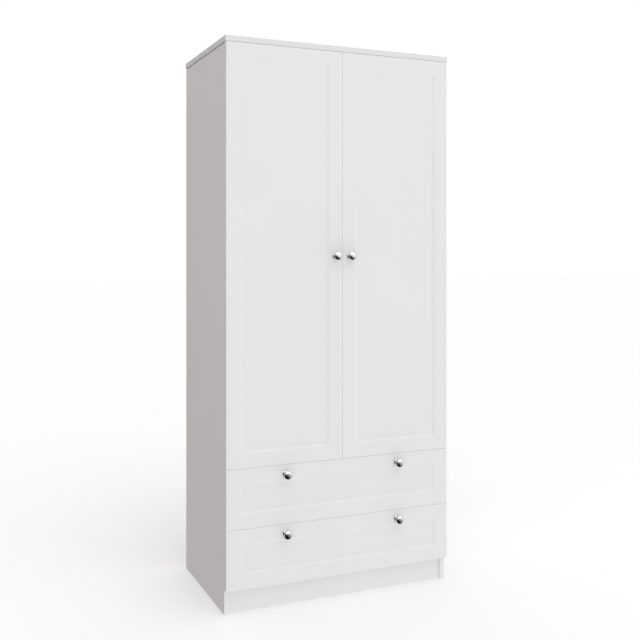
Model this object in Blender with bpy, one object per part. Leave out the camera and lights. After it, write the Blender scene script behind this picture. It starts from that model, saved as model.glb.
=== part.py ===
"""Flat-pack wardrobe: two framed doors over two full-width drawers, on a plinth.

Metres, +Z up. The fronts face -Y, +X is right, and the floor is Z = 0. The origin is under the
middle of the whole object's box, knobs included. Each moving group is parented to an empty that
stands on its joint's axis, and every piece is its own object.
"""

import math

import bmesh
import bpy
from mathutils import Matrix, Vector

# Overall size.
WIDTH = 0.880            # over the side panels, and over the two doors
HEIGHT = 2.000
DEPTH = 0.522            # from the door faces to the rear edges of the sides
KNOB_REACH = 0.035       # a knob's top stands this far off the front
TOP_THICKNESS = 0.020
TOP_OVERHANG = 0.0024    # of the top panel past each side panel
BOARD = 0.018            # side panels, shelves and plinth
FIT = 0.0003             # gap between two pieces that touch

# Fronts.
FRONT = 0.020            # thickness of doors and drawer fronts
FRONT_GAP = 0.0005       # between neighbouring fronts
DOOR_TOP_GAP = 0.0006    # between the doors and the top panel
BUFFER_GAP = 0.002       # a closed front stands this far off the carcass
FRONTS_BOTTOM = 0.085
DRAWER_SEAM_Z = 0.294    # middle of the gap between the drawer fronts
DRAWER_PITCH = 0.210
DOOR_SEAM_Z = DRAWER_SEAM_Z + DRAWER_PITCH
STILE = 0.0515           # flat frame round each front's sunk field
BEVEL_WIDTH = 0.009      # slope between the frame and the field
FIELD_DEPTH = 0.004

# Carcass.
FRONT_Y = KNOB_REACH - (DEPTH + KNOB_REACH) / 2
REAR_Y = FRONT_Y + DEPTH
DOOR_BACK_Y = FRONT_Y + FRONT
CARCASS_Y = DOOR_BACK_Y + BUFFER_GAP
SHELF_INSET = 0.002      # of the fixed shelves behind the sides' front edges
PLINTH_Y = CARCASS_Y + 0.0055
SHADOW_GAP = 0.0024      # height of the rebate along each side panel's upper outer edge
SHADOW_GAP_DEPTH = 0.006
BOTTOM_TOP_Z = 0.100
MIDDLE_SHELF_TOP_Z = DOOR_SEAM_Z + BOARD / 2
HAT_SHELF_TOP_Z = 1.698
HAT_SHELF_INSET = 0.030
INNER_HALF = WIDTH / 2 - BOARD
TOP_UNDERSIDE = HEIGHT - TOP_THICKNESS

# Back.
BACK = 0.003
BACK_GROOVE = 0.0036
GROOVE_DEPTH = 0.007
GROOVE_TO_REAR = 0.012   # from the groove to the sides' rear edges
BACK_SEAM_Z = 1.080
SEAM_STRIP_HEIGHT = 0.022
SEAM_WEB = 0.0016
SEAM_FLANGE = 0.0011

# Hanging rail.
RAIL_Z = 1.640
RAIL_HEIGHT = 0.030
RAIL_WIDTH = 0.015
RAIL_WALL = 0.0012
SOCKET_PLATE = 0.003
SOCKET_DEPTH = 0.014
SOCKET_WALL = 0.003

# Concealed hinges. Places are distances from the side panel's outer face, inwards, and from the
# closed door's back, rearwards.
HINGE_AXIS = (0.005, -0.010)
HINGE_HEIGHTS = {"lower": 0.604, "middle": 1.180, "upper": 1.879}
LINK_AXIS = (0.0215, 0.0045)
LINK_BENDS = [(0.0245, -0.0005), (0.0285, -0.0045), (0.0335, -0.0072)]
LINK_THICKNESS = 0.0022
LINK_HEIGHT = 0.0090
PIN_RADIUS = 0.0010
PIN_HOLE_RADIUS = 0.00135
ARM_HEIGHT = 0.0126
ARM_SLOT_HEIGHT = 0.0096
ARM_SLOT_END = 0.0110
ARM_NECK_START = 0.0140
ARM_OUTLINE = [
    (0.0188, 0.0019),
    (0.0243, 0.0019),
    (0.0272, 0.0090),
    (0.0300, 0.0190),
    (0.0300, 0.0580),
    (0.0188, 0.0580),
]
CROSS_PLATE = (0.0200, 0.0540)
CROSS_PLATE_HEIGHT = 0.046
CUP_CENTRE = 0.0225
CUP_RADIUS = 0.0175
CUP_WALL = 0.0009
CUP_DEPTH = 0.0112
CUP_FLANGE = 0.0010
CUP_FLANGE_HEIGHT = 0.060
CUP_FLANGE_SPAN = (0.0045, 0.0400)
CUP_FLANGE_CORNER = 0.008

# Drawers.
DRAWER_SIDE = 0.012
DRAWER_HEIGHT = 0.145
DRAWER_BACK_DROP = 0.005 # of the box's back below its sides
DRAWER_LIFT = 0.030      # of the drawer box above its front's lower edge
DRAWER_LENGTH = 0.450
DRAWER_BOTTOM = 0.003
BOTTOM_GROOVE = 0.0036
BOTTOM_GROOVE_DEPTH = 0.005
BOTTOM_GROOVE_LIFT = 0.010
RUNNER_SPACE = 0.0127    # between a drawer side and the side panel
RUNNER_LENGTH = 0.450
RUNNER_STEP = 0.004      # the cabinet runner starts this far behind the drawer front
RUNNER_LIP = 0.0100
RUNNER_BELOW = 0.0100
RUNNER_ABOVE = 0.0240
RUNNER_ROOF = 0.0140
STEEL = 0.0012

# Knobs.
DOOR_KNOB_FROM_SEAM = 0.0285
DOOR_KNOB_Z = 1.240
DRAWER_KNOB_X = 0.222
DRAWER_KNOB_FROM_TOP = 0.031
KNOB_HEAD_RADIUS = 0.0153
KNOB_RIM_REACH = 0.0285
KNOB_STEM = [
    (0.0102, FIT),
    (0.0102, 0.0026),
    (0.0086, 0.0040),
    (0.0064, 0.0080),
    (0.0062, 0.0160),
    (0.0082, 0.0200),
    (0.0126, 0.0242),
    (0.0149, 0.0266),
]
ROUND_STEPS = 24


def clear_scene():
    for old in list(bpy.data.objects):
        bpy.data.objects.remove(old)


def material(name, colour, roughness, metallic=0.0):
    made = bpy.data.materials.new(name)
    made.use_nodes = True
    shader = made.node_tree.nodes["Principled BSDF"]
    shader.inputs["Base Color"].default_value = (*colour, 1.0)
    shader.inputs["Roughness"].default_value = roughness
    shader.inputs["Metallic"].default_value = metallic
    return made


def body(name, location=(0.0, 0.0, 0.0)):
    """The empty that carries a group of pieces; a moving group's stands on its joint's axis."""
    empty = bpy.data.objects.new(name, None)
    empty.location = location
    bpy.context.scene.collection.objects.link(empty)
    return empty


def mesh_of(bm, name):
    bmesh.ops.recalc_face_normals(bm, faces=bm.faces)
    mesh = bpy.data.meshes.new(name)
    bm.to_mesh(mesh)
    bm.free()
    return mesh


def place(name, mesh, finish, group, at=(0.0, 0.0, 0.0), turn=(0.0, 0.0, 0.0)):
    """An object at a world position, carried by a group's empty."""
    made = bpy.data.objects.new(name, mesh)
    if not mesh.materials:
        mesh.materials.append(finish)
    bpy.context.scene.collection.objects.link(made)
    made.parent = group
    made.location = Vector(at) - group.location
    made.rotation_euler = turn
    return made


def box(low, high):
    bm = bmesh.new()
    size = Vector(high) - Vector(low)
    middle = (Vector(high) + Vector(low)) / 2
    bmesh.ops.create_cube(bm, size=1.0, matrix=Matrix.Translation(middle) @ Matrix.Diagonal((*size, 1.0)))
    return bm


def prism(outline, start, end, axis="Z"):
    """An outline of (a, b) points pushed along an axis; a and b are the two other axes, in order."""
    def spot(a, b, along):
        return {"X": (along, a, b), "Y": (a, along, b), "Z": (a, b, along)}[axis]

    bm = bmesh.new()
    face = bm.faces.new([bm.verts.new(spot(a, b, start)) for a, b in outline])
    pushed = bmesh.ops.extrude_face_region(bm, geom=[face])
    rise = Vector(spot(0.0, 0.0, end)) - Vector(spot(0.0, 0.0, start))
    moved = [v for v in pushed["geom"] if isinstance(v, bmesh.types.BMVert)]
    bmesh.ops.translate(bm, verts=moved, vec=rise)
    return bm


def turned(profile, steps=ROUND_STEPS):
    """A solid of revolution about Z from (radius, height) points that start and end on the axis."""
    bm = bmesh.new()
    points = [bm.verts.new((radius, 0.0, height)) for radius, height in profile]
    edges = [bm.edges.new(pair) for pair in zip(points, points[1:])]
    bmesh.ops.spin(
        bm, geom=points + edges, cent=(0, 0, 0), axis=(0, 0, 1), angle=2 * math.pi, steps=steps
    )
    bmesh.ops.remove_doubles(bm, verts=bm.verts, dist=0.00001)
    return bm


def ring_points(radius_a, radius_b, centre=(0.0, 0.0), steps=ROUND_STEPS):
    angles = [2 * math.pi * i / steps for i in range(steps)]
    return [(centre[0] + radius_a * math.cos(t), centre[1] + radius_b * math.sin(t)) for t in angles]


def mirrored(points, side):
    """Outline points, their first coordinate flipped where side is -1."""
    return [(side * a, b) for a, b in points]


def smooth(mesh, angle=40.0):
    mesh.shade_smooth()
    mesh.set_sharp_from_angle(angle=math.radians(angle))


def combine(base, tool_bm, operation):
    """A Boolean of a mesh with a tool, both in the same local frame, as a new mesh."""
    tool = bpy.data.objects.new("tool", mesh_of(tool_bm, "tool"))
    tool.hide_render = True
    tool.display_type = "WIRE"
    work = bpy.data.objects.new("work", base)
    for item in (tool, work):
        bpy.context.scene.collection.objects.link(item)
    change = work.modifiers.new("change", "BOOLEAN")
    change.object = tool
    change.operation = operation
    change.solver = "EXACT"
    bpy.context.view_layer.update()
    graph = bpy.context.evaluated_depsgraph_get()
    made = bpy.data.meshes.new_from_object(work.evaluated_get(graph))
    made.name = base.name
    for item in (tool, work):
        bpy.data.objects.remove(item)
    return made


def cut(base, tool_bm):
    return combine(base, tool_bm, "DIFFERENCE")


def join(base, tool_bm):
    return combine(base, tool_bm, "UNION")


def framed_front(low_x, high_x, low_z, high_z):
    """A front board whose face has a flat frame, a sloping bevel and a sunk field."""
    bm = box((low_x, FRONT_Y, low_z), (high_x, FRONT_Y + FRONT, high_z))
    bmesh.ops.recalc_face_normals(bm, faces=bm.faces)
    face = min(bm.faces, key=lambda f: f.calc_center_median().y)
    bmesh.ops.inset_region(bm, faces=[face], thickness=STILE)
    bmesh.ops.inset_region(bm, faces=[face], thickness=BEVEL_WIDTH)
    bmesh.ops.translate(bm, verts=face.verts, vec=(0.0, FIELD_DEPTH, 0.0))
    return bm


def plan(side, from_side, from_back):
    """World (x, y) of a place measured from a side panel's outer face and the closed door's back."""
    return side * (WIDTH / 2 - from_side), DOOR_BACK_Y + from_back


def add_carcass(root, white, edge_white, raw):
    groove_rear = GROOVE_TO_REAR
    groove_front = GROOVE_TO_REAR + BACK_GROOVE
    outline = [
        (INNER_HALF, CARCASS_Y),
        (WIDTH / 2, CARCASS_Y),
        (WIDTH / 2, REAR_Y),
        (INNER_HALF, REAR_Y),
        (INNER_HALF, REAR_Y - groove_rear),
        (INNER_HALF + GROOVE_DEPTH, REAR_Y - groove_rear),
        (INNER_HALF + GROOVE_DEPTH, REAR_Y - groove_front),
        (INNER_HALF, REAR_Y - groove_front),
    ]
    rebate_low = TOP_UNDERSIDE - SHADOW_GAP
    for name, side in (("side_panel_left", -1), ("side_panel_right", 1)):
        panel = mesh_of(prism(mirrored(outline, side), 0.0, TOP_UNDERSIDE - FIT), name)
        x = sorted((side * (WIDTH / 2 - SHADOW_GAP_DEPTH), side * WIDTH))
        panel = cut(panel, box((x[0], -DEPTH, rebate_low), (x[1], DEPTH, HEIGHT)))
        place(name, panel, white, root)

    reach = WIDTH / 2 + TOP_OVERHANG
    top = box((-reach, FRONT_Y, TOP_UNDERSIDE), (reach, REAR_Y, HEIGHT))
    place("top_panel", mesh_of(top, "top_panel"), edge_white, root)

    half = INNER_HALF - FIT
    rear = REAR_Y - groove_front - FIT
    shelves = (
        ("bottom_panel", SHELF_INSET, BOTTOM_TOP_Z),
        ("middle_shelf", SHELF_INSET, MIDDLE_SHELF_TOP_Z),
        ("hat_shelf", HAT_SHELF_INSET, HAT_SHELF_TOP_Z),
    )
    for name, inset, top_z in shelves:
        shelf = box((-half, CARCASS_Y + inset, top_z - BOARD), (half, rear, top_z))
        place(name, mesh_of(shelf, name), white, root)

    plinth_top = BOTTOM_TOP_Z - BOARD - FIT
    for name, y in (("plinth_front", PLINTH_Y), ("plinth_rear", rear - 2 * BOARD)):
        plinth = box((-half, y, 0.0), (half, y + BOARD, plinth_top))
        place(name, mesh_of(plinth, name), white, root)

    add_back(root, edge_white, raw)


def add_back(root, white, raw):
    """Two thin boards in the sides' grooves, with an H-shaped strip over the seam between them."""
    middle_y = REAR_Y - GROOVE_TO_REAR - BACK_GROOVE / 2
    half = INNER_HALF + GROOVE_DEPTH - FIT
    seam = SEAM_WEB / 2 + FIT
    boards = (
        ("back_panel_lower", BOTTOM_TOP_Z - BOARD, BACK_SEAM_Z - seam),
        ("back_panel_upper", BACK_SEAM_Z + seam, TOP_UNDERSIDE - FIT),
    )
    for name, low, high in boards:
        board = box((-half, middle_y - BACK / 2, low), (half, middle_y + BACK / 2, high))
        place(name, mesh_of(board, name), raw, root)

    slot = BACK / 2 + FIT
    flange = slot + SEAM_FLANGE
    tall = SEAM_STRIP_HEIGHT / 2
    web = SEAM_WEB / 2
    corners = [(-flange, -tall), (-slot, -tall), (-slot, -web), (slot, -web), (slot, -tall), (flange, -tall)]
    outline = corners + [(-a, -b) for a, b in corners]
    placed = [(middle_y + a, BACK_SEAM_Z + b) for a, b in outline]
    strip = prism(placed, -(INNER_HALF - FIT), INNER_HALF - FIT, "X")
    place("back_joint_strip", mesh_of(strip, "back_joint_strip"), white, root)


def add_rail(root, chrome):
    """An oval tube in two sockets that are open on top, screwed to the side panels."""
    rail_y = (CARCASS_Y + REAR_Y) / 2
    centre = (rail_y, RAIL_Z)
    end = INNER_HALF - FIT - SOCKET_PLATE - FIT
    outer = prism(ring_points(RAIL_WIDTH / 2, RAIL_HEIGHT / 2, centre), -end, end, "X")
    hollow = ring_points(RAIL_WIDTH / 2 - RAIL_WALL, RAIL_HEIGHT / 2 - RAIL_WALL, centre)
    rail = cut(mesh_of(outer, "hanging_rail"), prism(hollow, -WIDTH, WIDTH, "X"))
    smooth(rail)
    place("hanging_rail", rail, chrome, root)

    cup_half = RAIL_WIDTH / 2 + FIT
    wide = cup_half + SOCKET_WALL
    low = RAIL_Z - RAIL_HEIGHT / 2 - FIT
    high = RAIL_Z + RAIL_HEIGHT / 2
    arc = [math.pi + math.pi * i / 12 for i in range(13)]

    def u_shape(half, bottom):
        """Outline of a U: a round foot and straight sides up to the socket's rim."""
        round_z = bottom + half
        foot = [(rail_y + half * math.cos(t), round_z + half * math.sin(t)) for t in arc]
        return foot + [(rail_y + half, high), (rail_y - half, high)]

    for name, side in (("rail_socket_left", -1), ("rail_socket_right", 1)):
        wall = side * (INNER_HALF - FIT)
        shell = mesh_of(prism(u_shape(wide, low - SOCKET_WALL), wall, wall - side * SOCKET_DEPTH, "X"), name)
        seat_start = wall - side * SOCKET_PLATE
        seat_end = wall - side * (SOCKET_DEPTH + SOCKET_PLATE)
        seat = [(a, b if b < high else high + SOCKET_WALL) for a, b in u_shape(cup_half, low)]
        socket = cut(shell, prism(seat, seat_start, seat_end, "X"))
        smooth(socket)
        place(name, socket, chrome, root)


def hinge_arm_mesh():
    """Arm and cross plate. X counts from the left panel's outer face, Y from the door's back."""
    foot = BOARD + FIT
    slot_half = ARM_SLOT_HEIGHT / 2
    ear_half = ARM_HEIGHT / 2
    rear = ARM_OUTLINE[-1][1]
    plate_half = CROSS_PLATE_HEIGHT / 2
    arm = mesh_of(prism(ARM_OUTLINE, -ear_half, ear_half), "hinge_arm")
    plate = box((foot, CROSS_PLATE[0], -plate_half), (foot + STEEL, CROSS_PLATE[1], plate_half))
    neck = box((foot, ARM_NECK_START, -ear_half), (foot + STEEL, rear, ear_half))
    arm = join(join(arm, plate), neck)
    slot = box((0.0, -BOARD, -slot_half), (2 * BOARD, ARM_SLOT_END, slot_half))
    hole = prism(ring_points(PIN_HOLE_RADIUS, PIN_HOLE_RADIUS, LINK_AXIS, 12), -BOARD, BOARD)
    return cut(cut(arm, slot), hole)


def hinge_link_mesh():
    """A gooseneck link with a hub and a pin, drawn about the same corner as the arm."""
    path = [Vector(point) for point in (LINK_AXIS, *LINK_BENDS)]
    half = LINK_THICKNESS / 2
    hub = 2 * PIN_RADIUS
    ahead = [(b - a).normalized() for a, b in zip(path, path[1:])]
    ways = [ahead[0]] + [(a + b).normalized() for a, b in zip(ahead, ahead[1:])] + [ahead[-1]]
    left = [p + half * Vector((-w.y, w.x)) for p, w in zip(path, ways)]
    right = [p - half * Vector((-w.y, w.x)) for p, w in zip(path, ways)]
    tall = LINK_HEIGHT / 2
    pin_half = ARM_HEIGHT / 2
    link = mesh_of(prism([tuple(p) for p in left + right[::-1]], -tall, tall), "hinge_link")
    link = join(link, prism(ring_points(hub, hub, LINK_AXIS, 16), -tall, tall))
    return join(link, prism(ring_points(PIN_RADIUS, PIN_RADIUS, LINK_AXIS, 12), -pin_half, pin_half))


def hinge_cup_mesh():
    """A round cup sunk in the door with an oblong flange on the door's back, axis along Y."""
    flange_near, flange_far = CUP_FLANGE_SPAN
    rim = FIT + CUP_FLANGE
    cup = prism(ring_points(CUP_RADIUS, CUP_RADIUS, (CUP_CENTRE, 0.0)), -CUP_DEPTH, rim, "Y")
    tall = CUP_FLANGE_HEIGHT / 2
    corner = CUP_FLANGE_CORNER
    flange = [
        (flange_near, -tall + corner),
        (flange_near + corner, -tall),
        (flange_far - corner, -tall),
        (flange_far, -tall + corner),
        (flange_far, tall - corner),
        (flange_far - corner, tall),
        (flange_near + corner, tall),
        (flange_near, tall - corner),
    ]
    whole = join(mesh_of(cup, "hinge_cup"), prism(flange, FIT, rim, "Y"))
    inner = CUP_RADIUS - CUP_WALL
    hollow = ring_points(inner, inner, (CUP_CENTRE, 0.0))
    return cut(whole, prism(hollow, CUP_WALL - CUP_DEPTH, rim + FIT, "Y"))


def add_hinges(root, nickel, doors, links):
    """Three hinges a side. The right ones are the left ones turned half round about Y."""
    meshes = {"arm": hinge_arm_mesh(), "link": hinge_link_mesh(), "cup": hinge_cup_mesh()}
    for mesh in meshes.values():
        smooth(mesh)
    for label, side in (("left", -1), ("right", 1)):
        turn = (0.0, 0.0, 0.0) if side < 0 else (0.0, math.pi, 0.0)
        groups = {"arm": root, "link": links[label], "cup": doors[label]}
        for kind, mesh in meshes.items():
            for height, z in HINGE_HEIGHTS.items():
                at = (side * WIDTH / 2, DOOR_BACK_Y, z)
                place(f"hinge_{kind}_{label}_{height}", mesh, nickel, groups[kind], at, turn)


def add_doors(doors, white):
    low = DOOR_SEAM_Z + FRONT_GAP / 2
    high = TOP_UNDERSIDE - DOOR_TOP_GAP
    for label, side in (("left", -1), ("right", 1)):
        edges = sorted((side * FRONT_GAP / 2, side * WIDTH / 2))
        door = mesh_of(framed_front(edges[0], edges[1], low, high), f"door_{label}")
        bore = CUP_RADIUS + FIT
        for z in HINGE_HEIGHTS.values():
            centre = (side * (WIDTH / 2 - CUP_CENTRE), z)
            floor = DOOR_BACK_Y - CUP_DEPTH - FIT
            door = cut(door, prism(ring_points(bore, bore, centre), floor, REAR_Y, "Y"))
        door.transform(Matrix.Translation(-doors[label].location))
        place(f"door_{label}", door, white, doors[label], doors[label].location)


def drawer_side_mesh(name, side, z):
    outer = INNER_HALF - RUNNER_SPACE
    inner = outer - DRAWER_SIDE
    groove_low = z + BOTTOM_GROOVE_LIFT
    groove_high = groove_low + BOTTOM_GROOVE
    outline = [
        (inner, z),
        (outer, z),
        (outer, z + DRAWER_HEIGHT),
        (inner, z + DRAWER_HEIGHT),
        (inner, groove_high),
        (inner + BOTTOM_GROOVE_DEPTH, groove_high),
        (inner + BOTTOM_GROOVE_DEPTH, groove_low),
        (inner, groove_low),
    ]
    start = DOOR_BACK_Y + FIT
    return mesh_of(prism(mirrored(outline, side), start, start + DRAWER_LENGTH, "Y"), name)


def runner_outlines(z):
    """Cross sections of the two runners in a drawer's left gap; X counts from the cabinet wall."""
    wall = FIT
    thick = wall + STEEL
    low = z - RUNNER_BELOW
    high = z + RUNNER_ABOVE
    lip = RUNNER_LIP
    cabinet = [
        (wall, low),
        (lip, low),
        (lip, low + STEEL),
        (thick, low + STEEL),
        (thick, high - STEEL),
        (lip / 2, high - STEEL),
        (lip / 2, high),
        (wall, high),
    ]
    face = RUNNER_SPACE - FIT
    under = face + DRAWER_SIDE
    roof = z + RUNNER_ROOF
    drawer = [
        (lip / 2, roof),
        (lip / 2, roof - STEEL),
        (face - STEEL, roof - STEEL),
        (face - STEEL, z - FIT - STEEL),
        (under, z - FIT - STEEL),
        (under, z - FIT),
        (face, z - FIT),
        (face, roof),
    ]
    return cabinet, drawer


def add_drawer(label, seam_below, seam_above, root, group, finishes):
    white, inside, raw, steel = finishes
    half = WIDTH / 2
    front = framed_front(-half, half, seam_below, seam_above)
    place(f"drawer_{label}_front", mesh_of(front, f"drawer_{label}_front"), white, group)

    z = seam_below + DRAWER_LIFT
    start = DOOR_BACK_Y + FIT
    end = start + DRAWER_LENGTH
    for name, side in (("left", -1), ("right", 1)):
        piece = f"drawer_{label}_side_{name}"
        place(piece, drawer_side_mesh(piece, side, z), inside, group)

    inner = INNER_HALF - RUNNER_SPACE - DRAWER_SIDE
    floor_low = z + BOTTOM_GROOVE_LIFT + FIT
    floor_high = floor_low + DRAWER_BOTTOM
    back_y = end - DRAWER_SIDE
    back = box((-inner + FIT, back_y, floor_high + FIT), (inner - FIT, end, z + DRAWER_HEIGHT - DRAWER_BACK_DROP))
    place(f"drawer_{label}_back", mesh_of(back, f"drawer_{label}_back"), inside, group)
    reach = inner + BOTTOM_GROOVE_DEPTH - FIT
    floor = box((-reach, start, floor_low), (reach, end, floor_high))
    place(f"drawer_{label}_bottom", mesh_of(floor, f"drawer_{label}_bottom"), raw, group)

    cabinet, drawer = runner_outlines(z)
    for name, side in (("left", -1), ("right", 1)):
        for kind, outline, holder in (("cabinet", cabinet, root), ("drawer", drawer, group)):
            piece = f"runner_{kind}_{label}_{name}"
            placed = [(side * (INNER_HALF - a), b) for a, b in outline]
            first = start + (RUNNER_STEP if kind == "cabinet" else FIT)
            steel_mesh = mesh_of(prism(placed, first, first + RUNNER_LENGTH, "Y"), piece)
            place(piece, steel_mesh, steel, holder)


def knob_mesh():
    """A mushroom knob turned about its own Z: foot, waist and domed head."""
    rise = KNOB_REACH - KNOB_RIM_REACH
    crown = [math.pi / 2 * i / 5 for i in range(5)]
    dome = [(KNOB_HEAD_RADIUS * math.cos(t), KNOB_RIM_REACH + rise * math.sin(t)) for t in crown]
    return mesh_of(turned([(0.0, FIT), *KNOB_STEM, *dome, (0.0, KNOB_REACH)]), "knob")


def add_knobs(doors, drawers, chrome):
    knob = knob_mesh()
    smooth(knob, 60.0)
    outwards = (math.pi / 2, 0.0, 0.0)
    for label, side in (("left", -1), ("right", 1)):
        at = (side * DOOR_KNOB_FROM_SEAM, FRONT_Y, DOOR_KNOB_Z)
        place(f"knob_door_{label}", knob, chrome, doors[label], at, outwards)
        for level, (group, top) in drawers.items():
            at = (side * DRAWER_KNOB_X, FRONT_Y, top - DRAWER_KNOB_FROM_TOP)
            place(f"knob_drawer_{level}_{label}", knob, chrome, group, at, outwards)


def main():
    clear_scene()
    white = material("white_front", (0.80, 0.80, 0.79), 0.38)
    carcass_white = material("white_carcass", (0.80, 0.80, 0.79), 0.42)
    inside = material("white_inside", (0.80, 0.80, 0.79), 0.50)
    raw = material("raw_board", (0.42, 0.30, 0.19), 0.80)
    nickel = material("nickel", (0.62, 0.60, 0.57), 0.30, 1.0)
    steel = material("coated_steel", (0.78, 0.78, 0.77), 0.45)
    chrome = material("chrome", (0.80, 0.80, 0.80), 0.10, 1.0)

    root = body("carcass")
    doors = {}
    links = {}
    for label, side in (("left", -1), ("right", 1)):
        doors[label] = body(f"door_{label}_axis", (*plan(side, *HINGE_AXIS), 0.0))
        links[label] = body(f"links_{label}_axis", (*plan(side, *LINK_AXIS), 0.0))
    lower = body("drawer_lower_slide")
    upper = body("drawer_upper_slide")

    add_carcass(root, carcass_white, white, raw)
    add_rail(root, chrome)
    add_doors(doors, white)
    add_hinges(root, nickel, doors, links)
    finishes = (white, inside, raw, steel)
    lower_top = DRAWER_SEAM_Z - FRONT_GAP / 2
    upper_top = DOOR_SEAM_Z - FRONT_GAP / 2
    add_drawer("lower", FRONTS_BOTTOM, lower_top, root, lower, finishes)
    add_drawer("upper", DRAWER_SEAM_Z + FRONT_GAP / 2, upper_top, root, upper, finishes)
    add_knobs(doors, {"lower": (lower, lower_top), "upper": (upper, upper_top)}, chrome)


main()
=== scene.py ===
"""The looks of the two-door wardrobe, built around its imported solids.

Metres, +Z up. The doors and drawers face -Y, and +X is the right-hand side seen from the front.
Plain boards and pressed steel keep their packed outline and get eased edges and real finishes.
The milled fronts, the drilled sides, knobs, hinge cups, rail, rollers and fasteners are made here.
Every piece rides on the body of the solid that it belongs to.
"""

import math

import bmesh
import bpy
from mathutils import Matrix, Vector


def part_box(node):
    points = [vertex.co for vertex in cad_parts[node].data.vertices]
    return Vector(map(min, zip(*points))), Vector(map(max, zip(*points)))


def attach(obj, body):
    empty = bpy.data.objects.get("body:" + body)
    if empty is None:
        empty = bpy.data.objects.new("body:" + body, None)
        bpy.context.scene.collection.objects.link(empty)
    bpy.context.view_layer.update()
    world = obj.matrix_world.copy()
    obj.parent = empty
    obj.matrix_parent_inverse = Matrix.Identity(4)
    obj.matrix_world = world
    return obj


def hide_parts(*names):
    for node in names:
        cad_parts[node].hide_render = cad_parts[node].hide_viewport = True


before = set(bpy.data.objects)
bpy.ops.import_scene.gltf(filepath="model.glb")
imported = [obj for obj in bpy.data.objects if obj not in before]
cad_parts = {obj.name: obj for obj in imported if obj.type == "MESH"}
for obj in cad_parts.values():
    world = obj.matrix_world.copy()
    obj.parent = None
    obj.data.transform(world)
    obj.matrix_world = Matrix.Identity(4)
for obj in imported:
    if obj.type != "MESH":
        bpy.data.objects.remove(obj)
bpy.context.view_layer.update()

SCENE = bpy.context.scene
SIDES = {"left": -1, "right": 1}
LEVELS = ("lower", "middle", "upper")
DRAWERS = ("lower", "upper")

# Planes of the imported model.
FRONT_Y, DOOR_BACK_Y = (corner.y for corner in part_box("door_left"))
CARCASS_Y, REAR_Y = (corner.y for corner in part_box("side_panel_left"))
OUTER_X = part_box("side_panel_right")[1].x
INNER_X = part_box("side_panel_right")[0].x
FIT = 0.0003             # between two pieces that touch

# Cleaning and rounding of copied solids: lengths, then angles in radians.
MERGE = 0.00001
FLAT_ANGLE = math.radians(0.5)
SHARP_ANGLE = 0.6
TOP_EASE = 0.0008
BOARD_EASE = 0.0006
BOX_EASE = 0.0005
ARM_EASE = 0.0004
THIN_EASE = 0.0003
SOCKET_EASE = 0.0005
PRESSED_EASE = 0.0002

# Milled fronts.
STILE = 0.0515           # flat frame round the sunk field
BEVEL_WIDTH = 0.009
FIELD_DEPTH = 0.004
OUTER_EASE = 0.0011      # rounding of a front's outer edges
MILLED_EASE = 0.0008     # rounding where the slope meets the frame and the field

# Corner radii of the fronts, seen from the front.
OUTER_CORNER = 0.0016
SMALLEST_CORNER = 0.0004
FIELD_CORNER = 0.0040
CORNER_SHRINK = 0.15     # how much the field's corners tighten down the bevel

# Hinges. Places are distances from the side panel's outer face and from the closed door's back.
CUP_CENTRE = 0.0225
CUP_RADIUS = 0.0175
CUP_WALL = 0.0009
CUP_DEPTH = 0.0112
CUP_FLANGE = 0.0013
CUP_FLANGE_SPAN = (0.0045, 0.0400)
CUP_FLANGE_HEIGHT = 0.060
CUP_FLANGE_CORNER = 0.009
CUP_LIP = 0.0004
CUP_SCREW = (0.0320, 0.0215)
ARM_TOP = 0.0300
ARM_SCREWS = (0.0270, 0.0480)
PLATE_SCREW = 0.0390
PLATE_SCREW_HEIGHT = 0.0160
PLATE_TOP = 0.0195

# Drilling of the sides, and the rebate along their top.
SHADOW_GAP = 0.0024
HOLE_RADIUS = 0.0025
HOLE_DEPTH = 0.010
HOLE_PITCH = 0.032
HOLE_ROW_INSET = 0.037
HOLE_ROWS = ((0.700, 12), (1.276, 10))

# Small fasteners. Insets count from the side panels' inner or outer faces.
COVER_INSET = 0.034
NAIL_INSET = 0.045
NAIL_COUNT = 8
BOX_SCREW_INSET = 0.030
BUFFER_INSET = 0.009
BUFFER_DROP = 0.018      # below a drawer front's top, beyond the door's gap
BUFFER_END = 0.050       # from a door's ends

# Rail.
RAIL_WALL = 0.0012
RAIL_LIP = 0.0003

# Runners. Distances in X count from the side panel's inner face.
ROLLER_CLEAR = 0.0013    # from the top of the drawer's profile to the tread
RUNNER_SCREW_FACE = 0.0015
RUNNER_SCREW_SHARES = (0.16, 0.5, 0.9)
ROLLER_RADIUS = 0.0099
ROLLER_SPAN = (0.0024, 0.0104)
ROLLER_CROWN = 0.0012
ROLLER_END = 0.022       # from a roller's axle to the end of its steel profile

# Knobs, about their own axis: radius and reach from the front's face.
KNOB_REACH = 0.035
KNOB_FOOT = [(0.0, FIT), (0.0099, FIT), (0.0104, 0.0008), (0.0103, 0.0022), (0.0094, 0.0033)]
KNOB_WAIST = [(0.0076, 0.0050), (0.0064, 0.0085), (0.0061, 0.0130), (0.0066, 0.0175), (0.0088, 0.0213)]
KNOB_RIM = [(0.0124, 0.0243), (0.0146, 0.0264), (0.01535, 0.0284), (0.0152, 0.0297)]
KNOB_CROWN = [(0.0138, 0.0318), (0.0112, 0.0334), (0.0078, 0.0344), (0.0040, 0.0349), (0.0, KNOB_REACH)]

# Camera, as solved for the view: distances from the middle of the door-front plane.
CAMERA_X = -1.3653
CAMERA_FROM_FRONT = 2.9233
CAMERA_Z = 1.2574
CAMERA_TURN = 23.59
CAMERA_SHIFT = -0.1077


# --- finishes -----------------------------------------------------------------------------------


def new_finish(name, metallic=0.0, **constants):
    made = bpy.data.materials.new(name)
    made.use_nodes = True
    shader = made.node_tree.nodes["Principled BSDF"]
    shader.inputs["Metallic"].default_value = metallic
    for label, value in constants.items():
        shader.inputs[label.replace("_", " ")].default_value = value
    return made


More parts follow.
